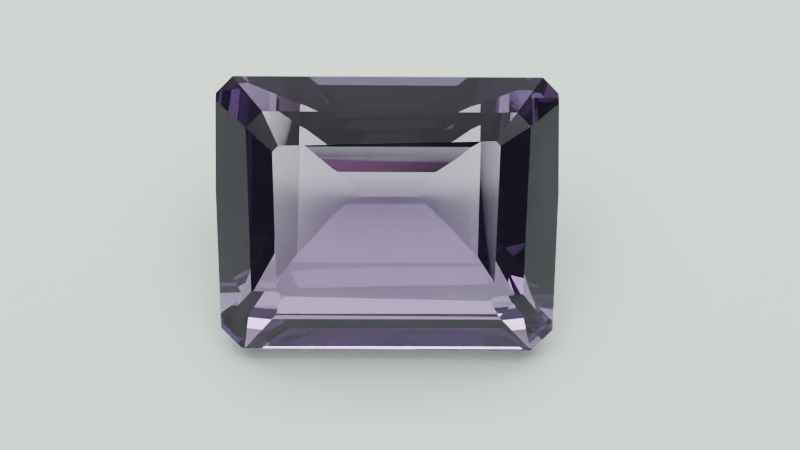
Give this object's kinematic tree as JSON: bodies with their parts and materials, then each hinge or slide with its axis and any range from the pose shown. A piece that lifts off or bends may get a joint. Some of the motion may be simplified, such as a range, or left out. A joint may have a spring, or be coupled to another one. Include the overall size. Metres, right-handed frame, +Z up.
{
  "type": "cut amethyst gemstone",
  "caption": "Loose clear purple gemstone in an emerald (step) cut, lying on a facet of its pavilion.",
  "frame": {"origin": "on the surface the stone lies on, under the middle of the stone's box", "axes": "+X along the stone's length, +Y to the side that is lifted off the surface, +Z up, away from the surface"},
  "size_m": [0.02, 0.014, 0.0104],
  "materials": {
    "amethyst": "polished clear purple quartz"
  },
  "bodies": {
    "root": {"amethyst": "amethyst"}
  },
  "joints": []
}
